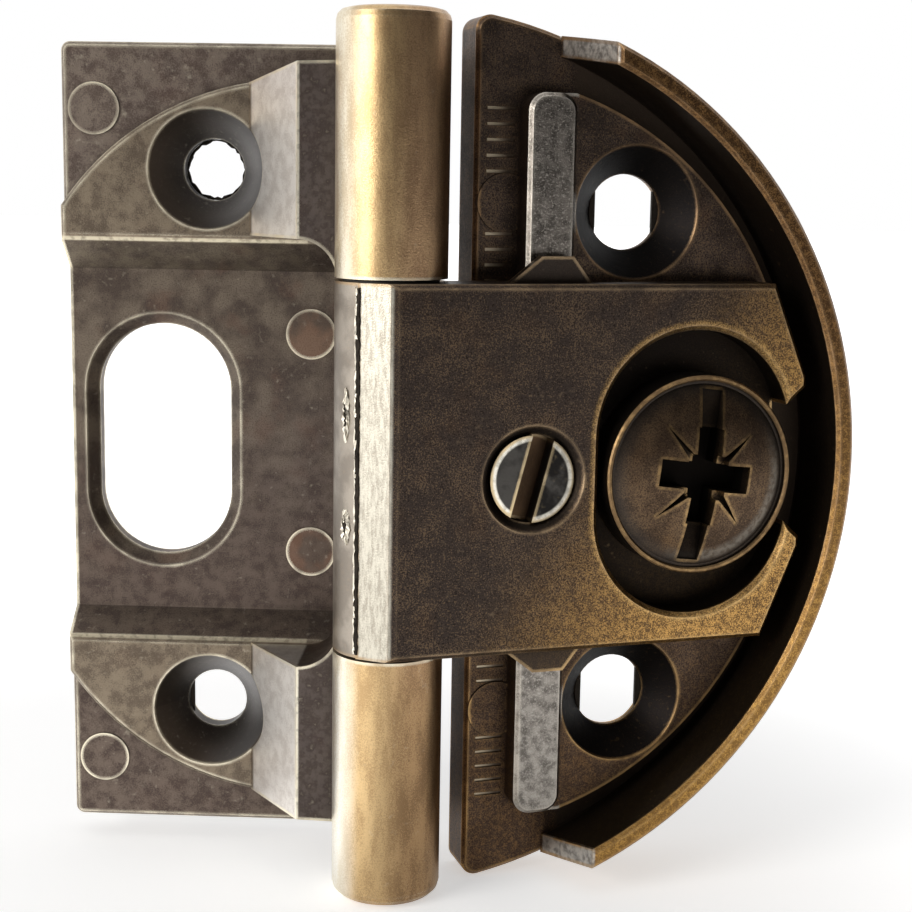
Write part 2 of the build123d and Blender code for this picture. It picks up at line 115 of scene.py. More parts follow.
class CastSkin:
    """The aged finish of one casting: its places in millimetres, its masks and its layers."""

    hollow_reach = 0.0022  # how near the walls of a hollow are, in metres
    edge_reach = 0.00025  # how wide a bare edge is, in metres
    worn_rough, soot_rough = 0.34, 0.7

    def __init__(self, name, dark, mid, warm, gold, speckle):
        self.material = bpy.data.materials.new(name)
        self.material.use_nodes = True
        self.material.node_tree.nodes.clear()
        s = self.shade = Shade(self.material.node_tree)
        metres = s.node("TexCoord", {}, {}, "Object")
        self.place = s.node("VectorMath", {"operation": "SCALE"}, {0: metres, "Scale": 1000.0})
        self.x, self.y, self.z = (s.node("SeparateXYZ", {}, {0: self.place}, i) for i in range(3))
        self.off_middle = s.math("ABSOLUTE", self.z)
        outward = {"samples": 4, "only_local": True}
        hollow = s.node("AmbientOcclusion", outward, {"Distance": self.hollow_reach}, "AO")
        inward = {"samples": 6, "only_local": True, "inside": True}
        ridge = s.node("AmbientOcclusion", inward, {"Distance": self.edge_reach}, "AO")
        self.cavity = hollow.rise(0.86, 0.45)
        self.grain = self.noise(spots=11.0, detail=6.0)
        self.blotch = self.noise(spots=0.5, detail=4.0)
        self.fleck = self.noise(spots=2.6, detail=2.0)
        uneven = (self.fleck - 0.5) * 0.2 + (self.blotch - 0.5) * 0.12
        self.edge = (ridge + uneven).rise(0.975, 0.865) * (0.45 + self.blotch.rise(0.42, 0.58) * 0.45)
        patina = self.blotch.rise(0.36, 0.64).tint(dark, mid)
        clouds = self.noise(spots=0.4, detail=4.0).rise(0.52, 0.72)
        patina = (clouds * 0.6).tint(patina, warm)
        pits = self.grain.rise(0.47, 0.36) * (0.3 + speckle)
        patina = pits.tint(patina, tuple(0.35 * part for part in dark))
        specks = (self.grain + (self.blotch - 0.5) * 0.3).rise(0.52, 0.63) * speckle
        self.colour = specks.tint(patina, gold)
        self.relief = self.grain * 0.6 + self.fleck * 0.4
        self.rough = 0.47 + (self.fleck - 0.5) * 0.16 - specks * 0.08

    def noise(self, spots, detail, along=1.0):
        """Noise of so many spots to a millimetre, drawn out along the pin where along is below 1."""
        stretch = {0: self.place, 1: (1.0, 1.0, along)}
        spread = self.shade.node("VectorMath", {"operation": "MULTIPLY"}, stretch)
        return self.shade.node("TexNoise", {}, {"Vector": spread, "Scale": spots, "Detail": detail})

    def lay(self, mask, colour, rough):
        """Another finish over this one, where mask is 1."""
        self.colour = mask.tint(self.colour, colour)
        self.rough = self.rough * (1 - mask) + mask * rough

    def close(self, worn, soot, depth, dirt=0.85):
        """Bare edges and sooty hollows on top of all, then the shader; depth is the relief's, in metres."""
        self.lay(self.edge, worn, self.worn_rough)
        self.lay(self.cavity * dirt, soot, self.soot_rough)
        s = self.shade
        bump = s.node("Bump", {}, {"Height": self.relief, "Distance": depth, "Strength": 1.0})
        layers = {"Base Color": self.colour, "Roughness": self.rough, "Metallic": 1.0, "Normal": bump}
        skin = s.node("BsdfPrincipled", {}, layers)
        end = self.material.node_tree.nodes.new("ShaderNodeOutputMaterial")
        self.material.node_tree.links.new(skin.socket, end.inputs["Surface"])


def finish_node(name, material):
    """Gives a solid its finish."""
    solid = frame["nodes"][name]
    solid.data.materials.clear()
    solid.data.materials.append(material)


def joint_spot(name):
    """A point of a joint's axis, in millimetres."""
    return 1000.0 * Vector(next(joint["pos_m"] for joint in frame["joints"] if joint["name"] == name))


leaf = CastSkin(
    "frame_leaf_finish",
    dark=(0.082, 0.063, 0.052),
    mid=(0.160, 0.128, 0.099),
    warm=(0.135, 0.083, 0.062),
    gold=(0.28, 0.23, 0.165),
    speckle=0.12,
)
# Places on the castings are in millimetres. Lengths that Blender's operators take are in metres.
pin_spot = joint_spot("leaf_swing")
pin_x, pin_y = pin_spot.xy
barrel_radius = 3.62
floor_y, end_y, pad_y, neck_y = -1.9, -3.3, -4.2, -9.8
pad_foot_z, end_z = 12.0, 16.0
upper_pad_edge, lower_pad_edge = (13.98, 14.25), (-13.80, -13.55)
ramp_foot_x, ramp_crest_x = 2.9, 6.85
frame_screw_z, frame_sink_radius = 18.85, 4.0
disc_x, disc_z, disc_radius = 6.8, 7.7, 1.7

from_pin = leaf.shade.reach(leaf.x - pin_x, leaf.y - pin_y)
barrel = from_pin.rise(barrel_radius + 0.18, barrel_radius + 0.06)
off_barrel = 1 - barrel
# The barrel's colour is painted with light: a painted highlight down its left side, painted shade down its
# right, and at the lower end the left paler and the right darker still.
satin = (leaf.noise(spots=1.2, detail=3.0, along=0.25) * 0.5 + leaf.grain * 0.5).rise(0.38, 0.62)
barrel_lit_side = leaf.x.rise(pin_x - 1.4, pin_x - 3.2)
barrel_shaded_side = leaf.x.rise(pin_x - 0.8, pin_x + 2.0)
barrel_lower_light = leaf.z.rise(-8.0, -16.0)
barrel_lit_dark = barrel_lower_light.tint((0.74, 0.63, 0.45), (0.86, 0.79, 0.64))
barrel_lit_pale = barrel_lower_light.tint((0.98, 0.92, 0.77), (1.00, 0.98, 0.90))
barrel_shade_dark = barrel_lower_light.tint((0.33, 0.203, 0.116), (0.25, 0.152, 0.078))
barrel_shade_pale = barrel_lower_light.tint((0.52, 0.336, 0.186), (0.44, 0.280, 0.142))
satin_dark_with_light = barrel_shaded_side.tint(barrel_lit_side.tint((0.46, 0.305, 0.150), barrel_lit_dark), barrel_shade_dark)
satin_pale_with_light = barrel_shaded_side.tint(barrel_lit_side.tint((0.68, 0.480, 0.245), barrel_lit_pale), barrel_shade_pale)
leaf.lay(barrel, satin.tint(satin_dark_with_light, satin_pale_with_light), rough=0.34)

stain = (leaf.noise(spots=1.1, detail=5.0) * 0.6 + leaf.grain * 0.4).rise(0.38, 0.60)
pads = leaf.off_middle.rise(pad_foot_z + 0.6, pad_foot_z + 1.2)
pads = pads * leaf.y.within(pad_y - 0.2, pad_y + 0.25, 0.05)
leaf.lay(pads * 0.7, stain.tint((0.130, 0.101, 0.074), (0.270, 0.217, 0.155)), rough=0.42)
ends = leaf.off_middle.rise(end_z - 0.5, end_z + 0.5) * leaf.y.within(end_y - 0.2, end_y + 0.2, 0.05)
leaf.lay(ends * 0.7, stain.tint((0.105, 0.078, 0.068), (0.225, 0.182, 0.150)), rough=0.44)
before_crest = leaf.x.rise(ramp_crest_x + 0.05, ramp_crest_x - 0.15)
walls = leaf.off_middle.within(pad_foot_z - 0.3, pad_foot_z + 2.4, 0.15)
walls = walls * leaf.y.within(pad_y + 0.2, floor_y - 0.1, 0.1) * before_crest
leaf.lay(walls * 0.5, stain.tint((0.085, 0.066, 0.055), (0.180, 0.150, 0.105)), rough=0.44)

neck = leaf.x.rise(ramp_crest_x - 0.05, ramp_crest_x + 0.15) * leaf.y.rise(neck_y + 1.2, neck_y + 0.6)
neck_tone = leaf.fleck.rise(0.35, 0.65).tint((0.070, 0.054, 0.049), (0.115, 0.094, 0.086))
leaf.lay(neck * off_barrel * 0.8, neck_tone, rough=0.45)
# The ramp faces the lamp and is painted pale, as a painted highlight.
ramp = leaf.x.within(ramp_foot_x + 0.1, ramp_crest_x, 0.12) * leaf.y.rise(pad_y - 0.05, pad_y - 0.4)
leaf.lay(ramp * off_barrel * 0.9, stain.tint((0.68, 0.63, 0.58), (0.86, 0.82, 0.77)), rough=0.42)

leaf_floor = leaf.off_middle.rise(pad_foot_z + 0.2, pad_foot_z - 0.2)
leaf_floor = leaf_floor * leaf.y.within(floor_y - 0.25, floor_y + 0.15, 0.05)
shaded = (leaf.x * 0.5 - leaf.z).rise(-9.0, 11.0)
floor_tone = stain.tint((0.078, 0.058, 0.052), (0.150, 0.118, 0.102))
leaf.lay(leaf_floor * shaded * 0.65, floor_tone, rough=0.46)
foot_shade = leaf.z.rise(2.0, -11.0) * (ends + leaf_floor + walls)
leaf.lay(foot_shade * 0.6, stain.tint((0.060, 0.043, 0.037), (0.120, 0.089, 0.072)), rough=0.46)

rubbed_line = leaf.fleck.rise(0.30, 0.55) * 0.6 + 0.35
crest = leaf.x.within(ramp_crest_x - 0.11, ramp_crest_x + 0.13, 0.06)
crest = crest * leaf.y.rise(neck_y + 0.35, neck_y + 0.2) * off_barrel
leaf.lay(crest * rubbed_line, (0.92, 0.86, 0.72), rough=0.34)
inner_edge = leaf.z.within(*upper_pad_edge, 0.06) + leaf.z.within(*lower_pad_edge, 0.06)
inner_edge = inner_edge * leaf.y.within(pad_y - 0.15, pad_y + 0.3, 0.05) * before_crest
leaf.lay(inner_edge * rubbed_line * 0.8, (0.66, 0.585, 0.43), rough=0.36)

from_screw = leaf.shade.reach(leaf.x, leaf.off_middle - frame_screw_z)
sink = from_screw.rise(frame_sink_radius, frame_sink_radius - 0.15)
sink = sink * leaf.y.within(pad_y - 0.15, -0.2, 0.1)
# The countersink is painted with light and shade: its right wall, which faces the lamp, pale grey, its left
# wall dark, and its depth near black.
sink_wall_light = leaf.x.rise(-1.5, 3.4).tint((0.085, 0.066, 0.052), (0.230, 0.220, 0.215))
sink_light_and_shade = leaf.y.rise(-3.4, -1.4).tint(sink_wall_light, (0.034, 0.028, 0.024))
leaf.lay(sink * 0.9, sink_light_and_shade, rough=0.38)
from_disc = leaf.shade.reach(leaf.x - disc_x, leaf.off_middle - disc_z)
floor_disc = from_disc.rise(disc_radius + 0.15, disc_radius)
floor_disc = floor_disc * leaf.y.within(floor_y - 0.4, floor_y + 0.2, 0.1)
disc_tone = leaf.blotch.rise(0.4, 0.6).tint((0.13, 0.095, 0.072), (0.25, 0.13, 0.08))
leaf.lay(floor_disc * 0.4, disc_tone, rough=0.42)
leaf.close(worn=(0.88, 0.80, 0.62), soot=(0.050, 0.040, 0.033), depth=0.00002, dirt=0.5)
finish_node("frame_leaf", leaf.material)

# Flash in the frame leaf's screw holes: thin fins that the die left near the mounting face.
# They are part of the casting, black and untrimmed: ragged all round in the upper hole, and
# a straight lip on one side of the lower one.


def grained(name, spots, dark, pale, metallic, uneven):
    """A plain finish with a fine grain, of so many spots to a metre and an uneven gloss."""
    material = bpy.data.materials.new(name)
    material.use_nodes = True
    tree = material.node_tree
    shade = Shade(tree)
    place = shade.node("TexCoord", {}, {}, "Object")
    grain = shade.node("TexNoise", {}, {"Vector": place, "Scale": spots, "Detail": 2.0})
    skin = tree.nodes["Principled BSDF"]
    skin.inputs["Metallic"].default_value = metallic
    tree.links.new(grain.tint(dark, pale).socket, skin.inputs["Base Color"])
    tree.links.new((grain * uneven + 0.45).socket, skin.inputs["Roughness"])
    return material


def seat(piece, spot, across, along):
    """Takes a piece made flat to its place in millimetres, and keeps that place in its mesh."""
    turn = Matrix((across, along, across.cross(along))).transposed().to_4x4()
    piece.matrix_world = Matrix.Translation(0.001 * spot) @ turn
    bpy.ops.object.transform_apply(location=True, rotation=True, scale=True)


def thicken(piece, thickness):
    """Gives a flat piece its thickness, half to each side."""
    wall = piece.modifiers.new("thickness", "SOLIDIFY")
    wall.thickness = thickness
    wall.offset = 0.0
    bpy.ops.object.modifier_apply(modifier="thickness")


def hand_over(piece, body, slot, *finishes):
    """Sets a piece's finishes, lets it ride on its body and leaves nothing selected."""
    for finish in finishes:
        piece.data.materials.append(finish)
    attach(piece, body)
    bpy.ops.object.select_all(action="DESELECT")


def hole_lip(name, radius, cut, thickness):
    """A segment of a disc: what is left of it beyond a straight cut, on the cut's own side."""
    bpy.ops.mesh.primitive_circle_add(vertices=64, radius=radius, fill_type="NGON")
    lip = bpy.context.object
    lip.name = name
    bpy.ops.object.mode_set(mode="EDIT")
    side = math.copysign(1.0, cut)
    bpy.ops.mesh.bisect(plane_co=(cut, 0.0, 0.0), plane_no=(side, 0.0, 0.0), clear_inner=True)
    bpy.ops.object.mode_set(mode="OBJECT")
    thicken(lip, thickness)
    return lip


# A near black: soot on the flash, the lips and the nicks' floors, and painted shade on the seam's step.
soot_and_shade_black = grained(
    "soot_and_shade_finish",
    spots=3000.0,
    dark=(0.012, 0.010, 0.008),
    pale=(0.055, 0.045, 0.036),
    metallic=1.0,
    uneven=0.3,
)
east, north = Vector((1.0, 0.0, 0.0)), Vector((0.0, 0.0, 1.0))
flash_y, frame_lip_y = -0.3, -0.9
flash_radius = 0.00208  # just inside the hole's wall
bpy.ops.mesh.primitive_circle_add(vertices=44, radius=flash_radius, fill_type="NGON")
flash = bpy.context.object
flash.name = "hole_flash"
bpy.ops.object.mode_set(mode="EDIT")
bpy.ops.mesh.inset(thickness=0.00018, depth=0.0)
bpy.ops.transform.vertex_random(offset=0.00009, uniform=1.0, normal=0.0, seed=7)
bpy.ops.mesh.delete(type="ONLY_FACE")
bpy.ops.object.mode_set(mode="OBJECT")
thicken(flash, thickness=0.00015)
seat(flash, Vector((0.0, flash_y, frame_screw_z)), east, north)
hand_over(flash, "frame", "aged_brass", soot_and_shade_black)

frame_lip = hole_lip("frame_hole_lip", flash_radius, cut=-0.0017, thickness=0.0002)
seat(frame_lip, Vector((0.0, frame_lip_y, -frame_screw_z)), east, north)
hand_over(frame_lip, "frame", "aged_brass", soot_and_shade_black)

# Hinge pin: a plain ground steel rod, driven up through the three knuckles from below.
# Only its foot shows, a little inside the lower knuckle.
pin = CastSkin(
    "hinge_pin_finish",
    dark=(0.30, 0.30, 0.30),
    mid=(0.42, 0.42, 0.42),
    warm=(0.34, 0.30, 0.26),
    gold=(0.50, 0.50, 0.50),
    speckle=0.3,
)
pin.close(worn=(0.62, 0.62, 0.61), soot=(0.05, 0.045, 0.04), depth=0.000005)
finish_node("hinge_pin", pin.material)

# Door arm: a die casting with the middle knuckle, the flat arm and the clamp screw's recess.
# Its flat is coarse and dark, painted golden towards the prongs as a warm light, and the flat
# beside the knuckle is rubbed bright.
arm = CastSkin(
    "door_arm_finish",
    dark=(0.054, 0.041, 0.035),
    mid=(0.066, 0.049, 0.040),
    warm=(0.078, 0.051, 0.036),
    gold=(0.25, 0.165, 0.092),
    speckle=0.44,
)
swing = math.radians(20.0)
door_across = Vector((math.cos(swing), math.sin(swing), 0.0))
door_out = Vector((math.sin(swing), -math.cos(swing), 0.0))


def door_offsets(skin):
    """How far each point is from the pin, along the door and in front of it."""
    along = (skin.x - pin_x) * door_across.x + (skin.y - pin_y) * door_across.y
    ahead = (skin.x - pin_x) * door_out.x + (skin.y - pin_y) * door_out.y
    return along, ahead


arm_x, arm_v = door_offsets(arm)
arm_front, arm_half = 4.2, 12.0
lug_front = 2.9
seam_x, seam_v, flat_x = -2.85, 2.55, -0.9
recess_x, recess_radius, recess_straight = 19.85, 6.9, 2.6
recess_half = recess_straight + recess_radius
recess_left = recess_x - recess_radius
adjuster_spot = joint_spot("adjuster_turn")
adjuster_along = (adjuster_spot - pin_spot).dot(door_across)
screw_z = adjuster_spot.z
mouth_radius = 3.5

gold_grain = (arm.grain * 0.7 + arm.fleck * 0.3).rise(0.41, 0.62)
# A painted warm light turns the arm and its worn edges golden towards the prongs and the lower end.
arm_warm_light = (arm_x - arm.z * 0.7).rise(10.0, 29.0) * 0.95
arm.lay(arm_warm_light, gold_grain.tint((0.145, 0.083, 0.038), (0.71, 0.410, 0.130)), rough=0.40)
recess_past = arm.shade.math("ABSOLUTE", arm.z - screw_z) - recess_straight
recess_past = arm.shade.math("MAXIMUM", recess_past, 0.0)
from_recess = arm.shade.reach(arm_x - recess_x, recess_past)
recess_lip = from_recess.within(recess_radius + 0.05, recess_radius + 0.55, 0.22)
recess_lip = recess_lip * arm_v.rise(arm_front - 0.4, arm_front - 0.2)
arm.lay(recess_lip * 0.75, gold_grain.tint((0.20, 0.118, 0.048), (0.72, 0.45, 0.165)), rough=0.38)

knuckle = arm.shade.reach(arm_x, arm_v).rise(barrel_radius + 0.18, barrel_radius + 0.06)
knuckle = knuckle * arm_x.rise(1.5, 1.0)
knuckle_tone = arm.blotch.rise(0.4, 0.6).tint((0.28, 0.245, 0.205), (0.40, 0.355, 0.30))
arm.lay(knuckle * 0.85, knuckle_tone, rough=0.40)
strip_slope = (arm_front - seam_v) / (flat_x - seam_x)
strip_level = arm_front - flat_x * strip_slope
strip = (arm_v - arm_x * strip_slope).rise(strip_level - 0.21, strip_level - 0.06)
strip = strip * arm_x.within(seam_x + 0.13, flat_x - 0.05, 0.12)
rubbed = (arm.noise(spots=5.0, detail=4.0, along=0.2) * 0.6 + arm.grain * 0.4).rise(0.36, 0.60)
arm.lay(strip * 0.95, rubbed.tint((0.38, 0.345, 0.285), (0.60, 0.565, 0.475)), rough=0.36)

# The clamp screw's recess is painted near black, as painted shade.
pocket = arm_v.rise(arm_front - 0.2, arm_front - 0.6)
pocket = pocket * arm_x.rise(recess_left - 0.25, recess_left + 0.15)
pocket = pocket * arm.z.within(screw_z - recess_half - 0.2, screw_z + recess_half + 0.3, 0.2)
arm.lay(pocket * 0.95, (0.016, 0.013, 0.011), rough=0.55)
# The mouth of the adjusting screw's hole is painted near black, as painted shade.
from_mouth = arm.shade.reach(arm_x - adjuster_along, arm.z - screw_z)
mouth = from_mouth.rise(mouth_radius + 0.15, mouth_radius - 0.1)
mouth = mouth * arm_v.rise(arm_front - 0.05, arm_front - 0.25)
arm.lay(mouth * 0.9, (0.022, 0.017, 0.013), rough=0.5)
# The lugs over the rails sit below the arm's face and are painted dark, as painted shade.
lug = arm_v.rise(lug_front + 0.4, lug_front + 0.2) * arm.off_middle.rise(arm_half - 0.05, arm_half + 0.1)
arm.lay(lug * 0.85, (0.05, 0.040, 0.034), rough=0.42)
arm_wear_and_light = arm_warm_light.tint((0.42, 0.30, 0.18), (0.70, 0.46, 0.20))
arm.close(worn=arm_wear_and_light, soot=(0.020, 0.015, 0.011), depth=0.00003)
finish_node("door_arm", arm.material)

# Parting seam: where the two die halves met along the middle knuckle, the casting has a ragged step,
# its dark face painted shade, beside the rubbed strip, with a thin bright lip. It runs from end to end.


def facing(degrees):
    """The level direction at an angle from +X, and the one along a surface that faces that way."""
    turn = math.radians(degrees)
    out = Vector((math.cos(turn), math.sin(turn), 0.0))
    return out, Vector((-out.y, out.x, 0.0))


bare_lip = CastSkin(
    "bare_lip_finish",
    dark=(0.46, 0.41, 0.33),
    mid=(0.66, 0.60, 0.50),
    warm=(0.52, 0.44, 0.32),
    gold=(0.80, 0.75, 0.64),
    speckle=0.3,
)
bare_lip.close(worn=(0.80, 0.74, 0.62), soot=(0.10, 0.085, 0.07), depth=0.00001)
seam_width, seam_length = 0.17, 23.4  # times the 1 mm grid that it is made from
seam_lip_edge = -0.00006
bulges = ((0.0095, 1.8), (0.0025, 0.6), (-0.0090, 1.9))  # each with its place and its widening
bpy.ops.mesh.primitive_grid_add(x_subdivisions=4, y_subdivisions=96, size=0.001)
seam = bpy.context.object
seam.name = "parting_seam"
bpy.ops.object.mode_set(mode="EDIT")
bpy.ops.transform.resize(value=(seam_width, seam_length, 1.0), center_override=(0.0, 0.0, 0.0))
for bulge_middle, widening in bulges:
    bpy.ops.object.mode_set(mode="OBJECT")
    for corner in seam.data.vertices:
        corner.select = abs(corner.co.y - bulge_middle) < 0.0004
    bpy.ops.object.mode_set(mode="EDIT")
    bpy.ops.transform.resize(
        value=(widening, 1.0, 1.0),
        center_override=(0.0, 0.0, 0.0),
        use_proportional_edit=True,
        proportional_edit_falloff="SMOOTH",
        proportional_size=0.004,
    )
bpy.ops.mesh.select_all(action="SELECT")
bpy.ops.transform.vertex_random(offset=0.00004, uniform=1.0, normal=0.0, seed=11)
bpy.ops.object.mode_set(mode="OBJECT")
# Faces beyond the lip's edge take the bright lip; the rest is a near black of painted shade on the step's
# face.
for face in seam.data.polygons:
    face.material_index = 1 if face.center.x < seam_lip_edge else 0
thicken(seam, thickness=0.00014)
seam_across = facing(-121.0)[1]
seat(seam, pin_spot + seam_x * door_across + seam_v * door_out, seam_across, north)
hand_over(seam, "arm", "aged_brass", soot_and_shade_black, bare_lip.material)

# Nicks: two dents beside the seam, where a tool slipped and threw up a bright burr.
# They are in the skin of the knuckle, one long and thin, one short and open.
nick_out, nick_across = facing(-135.0)
for nick_name, nick_z, half_width, half_length, nick_seed in (
    ("long_nick", 3.6, 0.28, 1.75, 3),
    ("open_nick", -3.55, 0.38, 1.15, 5),
):
    bpy.ops.mesh.primitive_circle_add(vertices=32, radius=0.001, fill_type="NGON")
    nick = bpy.context.object
    nick.name = nick_name
    bpy.ops.object.mode_set(mode="EDIT")
    bpy.ops.mesh.inset(thickness=0.0003, depth=0.00013)
    bpy.ops.mesh.inset(thickness=0.00025, depth=-0.00007)
    bpy.ops.mesh.select_all(action="SELECT")
    bpy.ops.transform.resize(value=(half_width, half_length, 1.0), center_override=(0.0, 0.0, 0.0))
    bpy.ops.transform.vertex_random(offset=0.00006, uniform=1.0, normal=0.0, seed=nick_seed)
    bpy.ops.object.mode_set(mode="OBJECT")
    for face in nick.data.polygons:
        face.material_index = 1 if len(face.vertices) > 4 else 0
    thicken(nick, thickness=0.00008)
    seat(nick, pin_spot + barrel_radius * nick_out + nick_z * north, nick_across, north)
    hand_over(nick, "arm", "aged_brass", bare_lip.material, soot_and_shade_black)

# Bushes: two flanged nylon sleeves pressed into the middle knuckle, which the pin turns in.
# They are moulded black, and only a flange's edge shows between the knuckles.
nylon_black = (0.035, 0.033, 0.031)
nylon = grained(
    "nylon_finish", spots=4000.0, dark=nylon_black, pale=nylon_black, metallic=0.0, uneven=0.2
)
for bush in ("upper_bush", "lower_bush"):
    finish_node(bush, nylon)

# Base plate: a D-shaped die casting with a raised rim, two rails, two screw pads and the scale.
# The arm slides on its rails, which are rubbed to bare metal, and its rim is golden and grainy;
# a painted warm light makes the lower side paler and more golden.
# Two screws through its countersunk pads hold it to the door.
plate = CastSkin(
    "base_plate_finish",
    dark=(0.054, 0.040, 0.033),
    mid=(0.088, 0.064, 0.052),
    warm=(0.098, 0.060, 0.040),
    gold=(0.25, 0.158, 0.080),
    speckle=0.42,
)
plate_x, plate_v = door_offsets(plate)
plate_back, plate_floor = -3.2, -0.15
rim_middle_x, rim_inner, rim_front = 1.9, 27.95, 5.2
facet_x, rim_start_x = 11.23, 13.1
channel_x = 12.3
door_screw_x, door_screw_z = 16.25, 16.5
door_sink_radius, door_pad_front = 4.35, 1.4
rail_left, rail_right, rail_front, rail_inner = 8.5, 11.8, 1.8, 9.5
mark_left, mark_right, mark_first, mark_last = 6.3, 8.2, 12.0, 23.0

# A painted warm light from below: the plate, its rim, its rails and their worn edges are paler and more
# golden towards the bottom.
plate_lower_light = plate.z.rise(-4.0, -24.0)
sparks = (plate.grain * 0.6 + plate.fleck * 0.4).rise(0.44, 0.62)
plate.lay(plate_lower_light * 0.5, sparks.tint((0.082, 0.048, 0.031), (0.27, 0.150, 0.062)), rough=0.42)
from_centre = plate.shade.reach(plate_x - rim_middle_x, plate.z)
outer_wall = from_centre.rise(rim_inner + 0.2, rim_inner + 0.35)
outer_wall = outer_wall * plate_v.within(plate_back + 0.2, plate_floor - 0.15, 0.1)
rim = from_centre.rise(rim_inner - 0.35, rim_inner - 0.05)
rim = rim * plate_v.rise(plate_floor + 0.1, plate_floor + 0.3)
rim = plate.shade.math("MAXIMUM", rim, outer_wall)
# The rim is painted darker at the top and golden at the bottom, as a painted warm light from below.
rim_lower_light = plate.z.rise(14.0, -20.0)
rim_dark = rim_lower_light.tint((0.085, 0.044, 0.019), (0.27, 0.145, 0.045))
rim_gold = rim_lower_light.tint((0.27, 0.145, 0.055), (0.60, 0.345, 0.095))
plate.lay(rim * 0.9, sparks.tint(rim_dark, rim_gold), rough=0.42)
# The rim's inner wall is painted near black, as painted shade.
rim_wall_shade = rim * from_centre.rise(rim_inner + 0.2, rim_inner + 0.1)
rim_wall_shade = rim_wall_shade * plate_v.rise(rim_front - 0.2, rim_front - 0.35)
plate.lay(rim_wall_shade * 0.95, (0.018, 0.014, 0.011), rough=0.6)
facet_slope = (rim_front - plate_floor) / (rim_start_x - facet_x)
facet = (plate_v - plate_floor - (plate_x - facet_x) * facet_slope).within(-0.35, 0.35, 0.1)
facet = facet * plate_x.within(facet_x - 0.05, rim_start_x + 0.05, 0.08) * rim
facet_tone = plate.fleck.rise(0.3, 0.65).tint((0.26, 0.25, 0.235), (0.62, 0.60, 0.56))
plate.lay(facet * 0.95, facet_tone, rough=0.36)

channel = plate_x.rise(channel_x - 0.3, channel_x + 0.3)
channel = channel * plate_v.rise(plate_floor + 0.45, plate_floor + 0.05)
channel = channel * plate_v.rise(plate_back + 0.3, plate_back + 0.6)
channel = channel * from_centre.rise(rim_inner + 0.2, rim_inner + 0.05)
plate.lay(channel * 0.9, (0.085, 0.062, 0.045), rough=0.6)
# The countersinks round the door screws are painted near black, as painted shade.
from_door_screw = plate.shade.reach(plate_x - door_screw_x, plate.off_middle - door_screw_z)
plate_sink = from_door_screw.rise(door_sink_radius + 0.05, door_sink_radius - 0.15)
plate_sink = plate_sink * plate_v.within(plate_back + 0.25, door_pad_front - 0.07, 0.08)
plate.lay(plate_sink * 0.95, (0.012, 0.011, 0.011), rough=0.5)

rail_run = plate.off_middle.rise(rail_inner - 0.5, rail_inner + 0.1) * (1 - rim)
rail = plate_x.within(rail_left - 0.02, rail_right + 0.02, 0.04)
rail = rail * plate_v.rise(rail_front - 0.38, rail_front - 0.25) * rail_run
crinkle = (plate.noise(spots=1.5, detail=6.0) * 0.7 + plate.grain * 0.3).rise(0.36, 0.64)
glints = plate.noise(spots=7.5, detail=3.0).rise(0.52, 0.66) * (1 - plate_lower_light * 0.6)
rail_dark = plate_lower_light.tint((0.100, 0.089, 0.078), (0.17, 0.155, 0.138))
rail_pale = plate_lower_light.tint((0.27, 0.242, 0.213), (0.47, 0.435, 0.39))
plate.lay(rail * 0.95, crinkle.tint(rail_dark, rail_pale), rough=0.36)
plate.lay(rail * glints * 0.75, plate_lower_light.tint((0.48, 0.44, 0.385), (0.64, 0.60, 0.54)), rough=0.3)

marks = plate_x.within(mark_left - 0.02, mark_right + 0.05, 0.05)
marks = marks * plate.off_middle.within(mark_first - 0.2, mark_last + 0.3, 0.1)
marks = marks * plate_v.rise(plate_floor - 0.05, plate_floor - 0.1)
marks = marks * plate_v.rise(plate_floor - 0.35, plate_floor - 0.25)
mark_tone = plate_x.rise(mark_left + 0.1, mark_right - 0.3).tint((0.55, 0.46, 0.33), (0.10, 0.075, 0.055))
plate.lay(marks, mark_tone, rough=0.40)
plate.cavity = plate.cavity * (1 - marks)
scale_strip = plate_x.within(mark_left - 0.35, mark_right + 0.2, 0.05)
scale_strip = scale_strip * plate.off_middle.within(mark_first - 0.5, mark_last + 0.6, 0.1)
scale_strip = scale_strip * plate_v.rise(plate_floor + 0.55, plate_floor + 0.35)
plate.edge = plate.edge * (1 - scale_strip * 0.85)

rail_sides = plate_x.within(rail_left - 0.15, rail_right + 0.15, 0.05)
rail_sides = rail_sides * plate_v.rise(rail_front - 0.6, rail_front - 0.45) * rail_run
worn_brass_and_light = plate_lower_light.tint((0.36, 0.225, 0.115), (0.60, 0.375, 0.150))
plate_wear_and_light = rail_sides.tint(worn_brass_and_light, (0.66, 0.61, 0.53))
plate.close(worn=plate_wear_and_light, soot=(0.018, 0.013, 0.010), depth=0.00003, dirt=0.6)
finish_node("base_plate", plate.material)

# Lips in the door screw holes: the casting keeps a thin flat lip at each side of each hole,
# so the hole is higher than it is wide. They are cast with the plate and black with soot.
door_lip_v = -1.0
door_lip_radius, door_lip_cut = 0.00248, 0.002
for hole_name, hole_z in (("upper", door_screw_z), ("lower", -door_screw_z)):
    for side_name, cut in (("inner", -door_lip_cut), ("outer", door_lip_cut)):
        lip = hole_lip(f"{hole_name}_hole_lip_{side_name}", door_lip_radius, cut, thickness=0.00025)
        lip_spot = pin_spot + door_screw_x * door_across + door_lip_v * door_out + hole_z * north
        seat(lip, lip_spot, door_across, north)
        hand_over(lip, "plate", "aged_brass", soot_and_shade_black)

